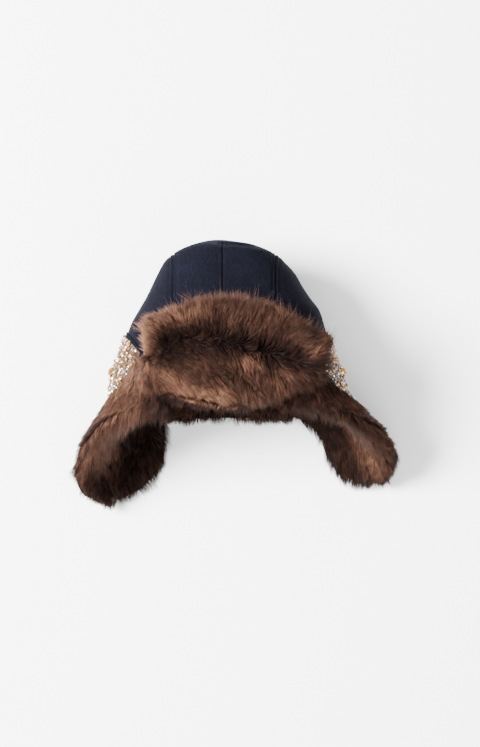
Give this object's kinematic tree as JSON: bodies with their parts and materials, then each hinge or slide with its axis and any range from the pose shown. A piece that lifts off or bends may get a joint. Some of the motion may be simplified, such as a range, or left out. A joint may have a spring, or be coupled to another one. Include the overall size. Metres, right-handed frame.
{
  "type": "shearling hat",
  "caption": "Padded cloth trapper hat with a long shearling visor and ear flaps, stone-set flap faces and a pile lining.",
  "frame": {"origin": "on the surface that the hat lies on, below the middle of its outer box", "axes": "+X across the hat towards its right ear flap as seen from above, +Y from the nape to the crown's top, +Z from the resting surface up to the visor"},
  "size_m": [0.3254, 0.2686, 0.1917],
  "materials": {
    "navy_cloth": "satin",
    "lining_pile": "matte",
    "brown_pile": "matte",
    "dark_pile": "matte",
    "clear_crystal": "gloss",
    "amber_crystal": "gloss"
  },
  "bodies": {
    "root": {"crown_side_left": "navy_cloth", "crown_strip_left": "navy_cloth", "crown_strip_right": "navy_cloth", "crown_side_right": "navy_cloth", "crown_lining": "lining_pile", "visor_flap": "navy_cloth", "visor_fur": "brown_pile", "ear_flap_left": "navy_cloth", "ear_flap_right": "navy_cloth", "ear_fur_left": "brown_pile", "ear_fur_right": "brown_pile", "nape_fur": "dark_pile", "crystals_left": "clear_crystal", "crystals_right": "clear_crystal", "stone_left_1": "amber_crystal", "stone_left_2": "amber_crystal", "stone_left_3": "amber_crystal", "stone_left_4": "amber_crystal", "stone_left_5": "amber_crystal", "stone_right_1": "amber_crystal", "stone_right_2": "amber_crystal", "stone_right_3": "amber_crystal", "stone_right_4": "amber_crystal", "stone_right_5": "amber_crystal"}
  },
  "joints": []
}
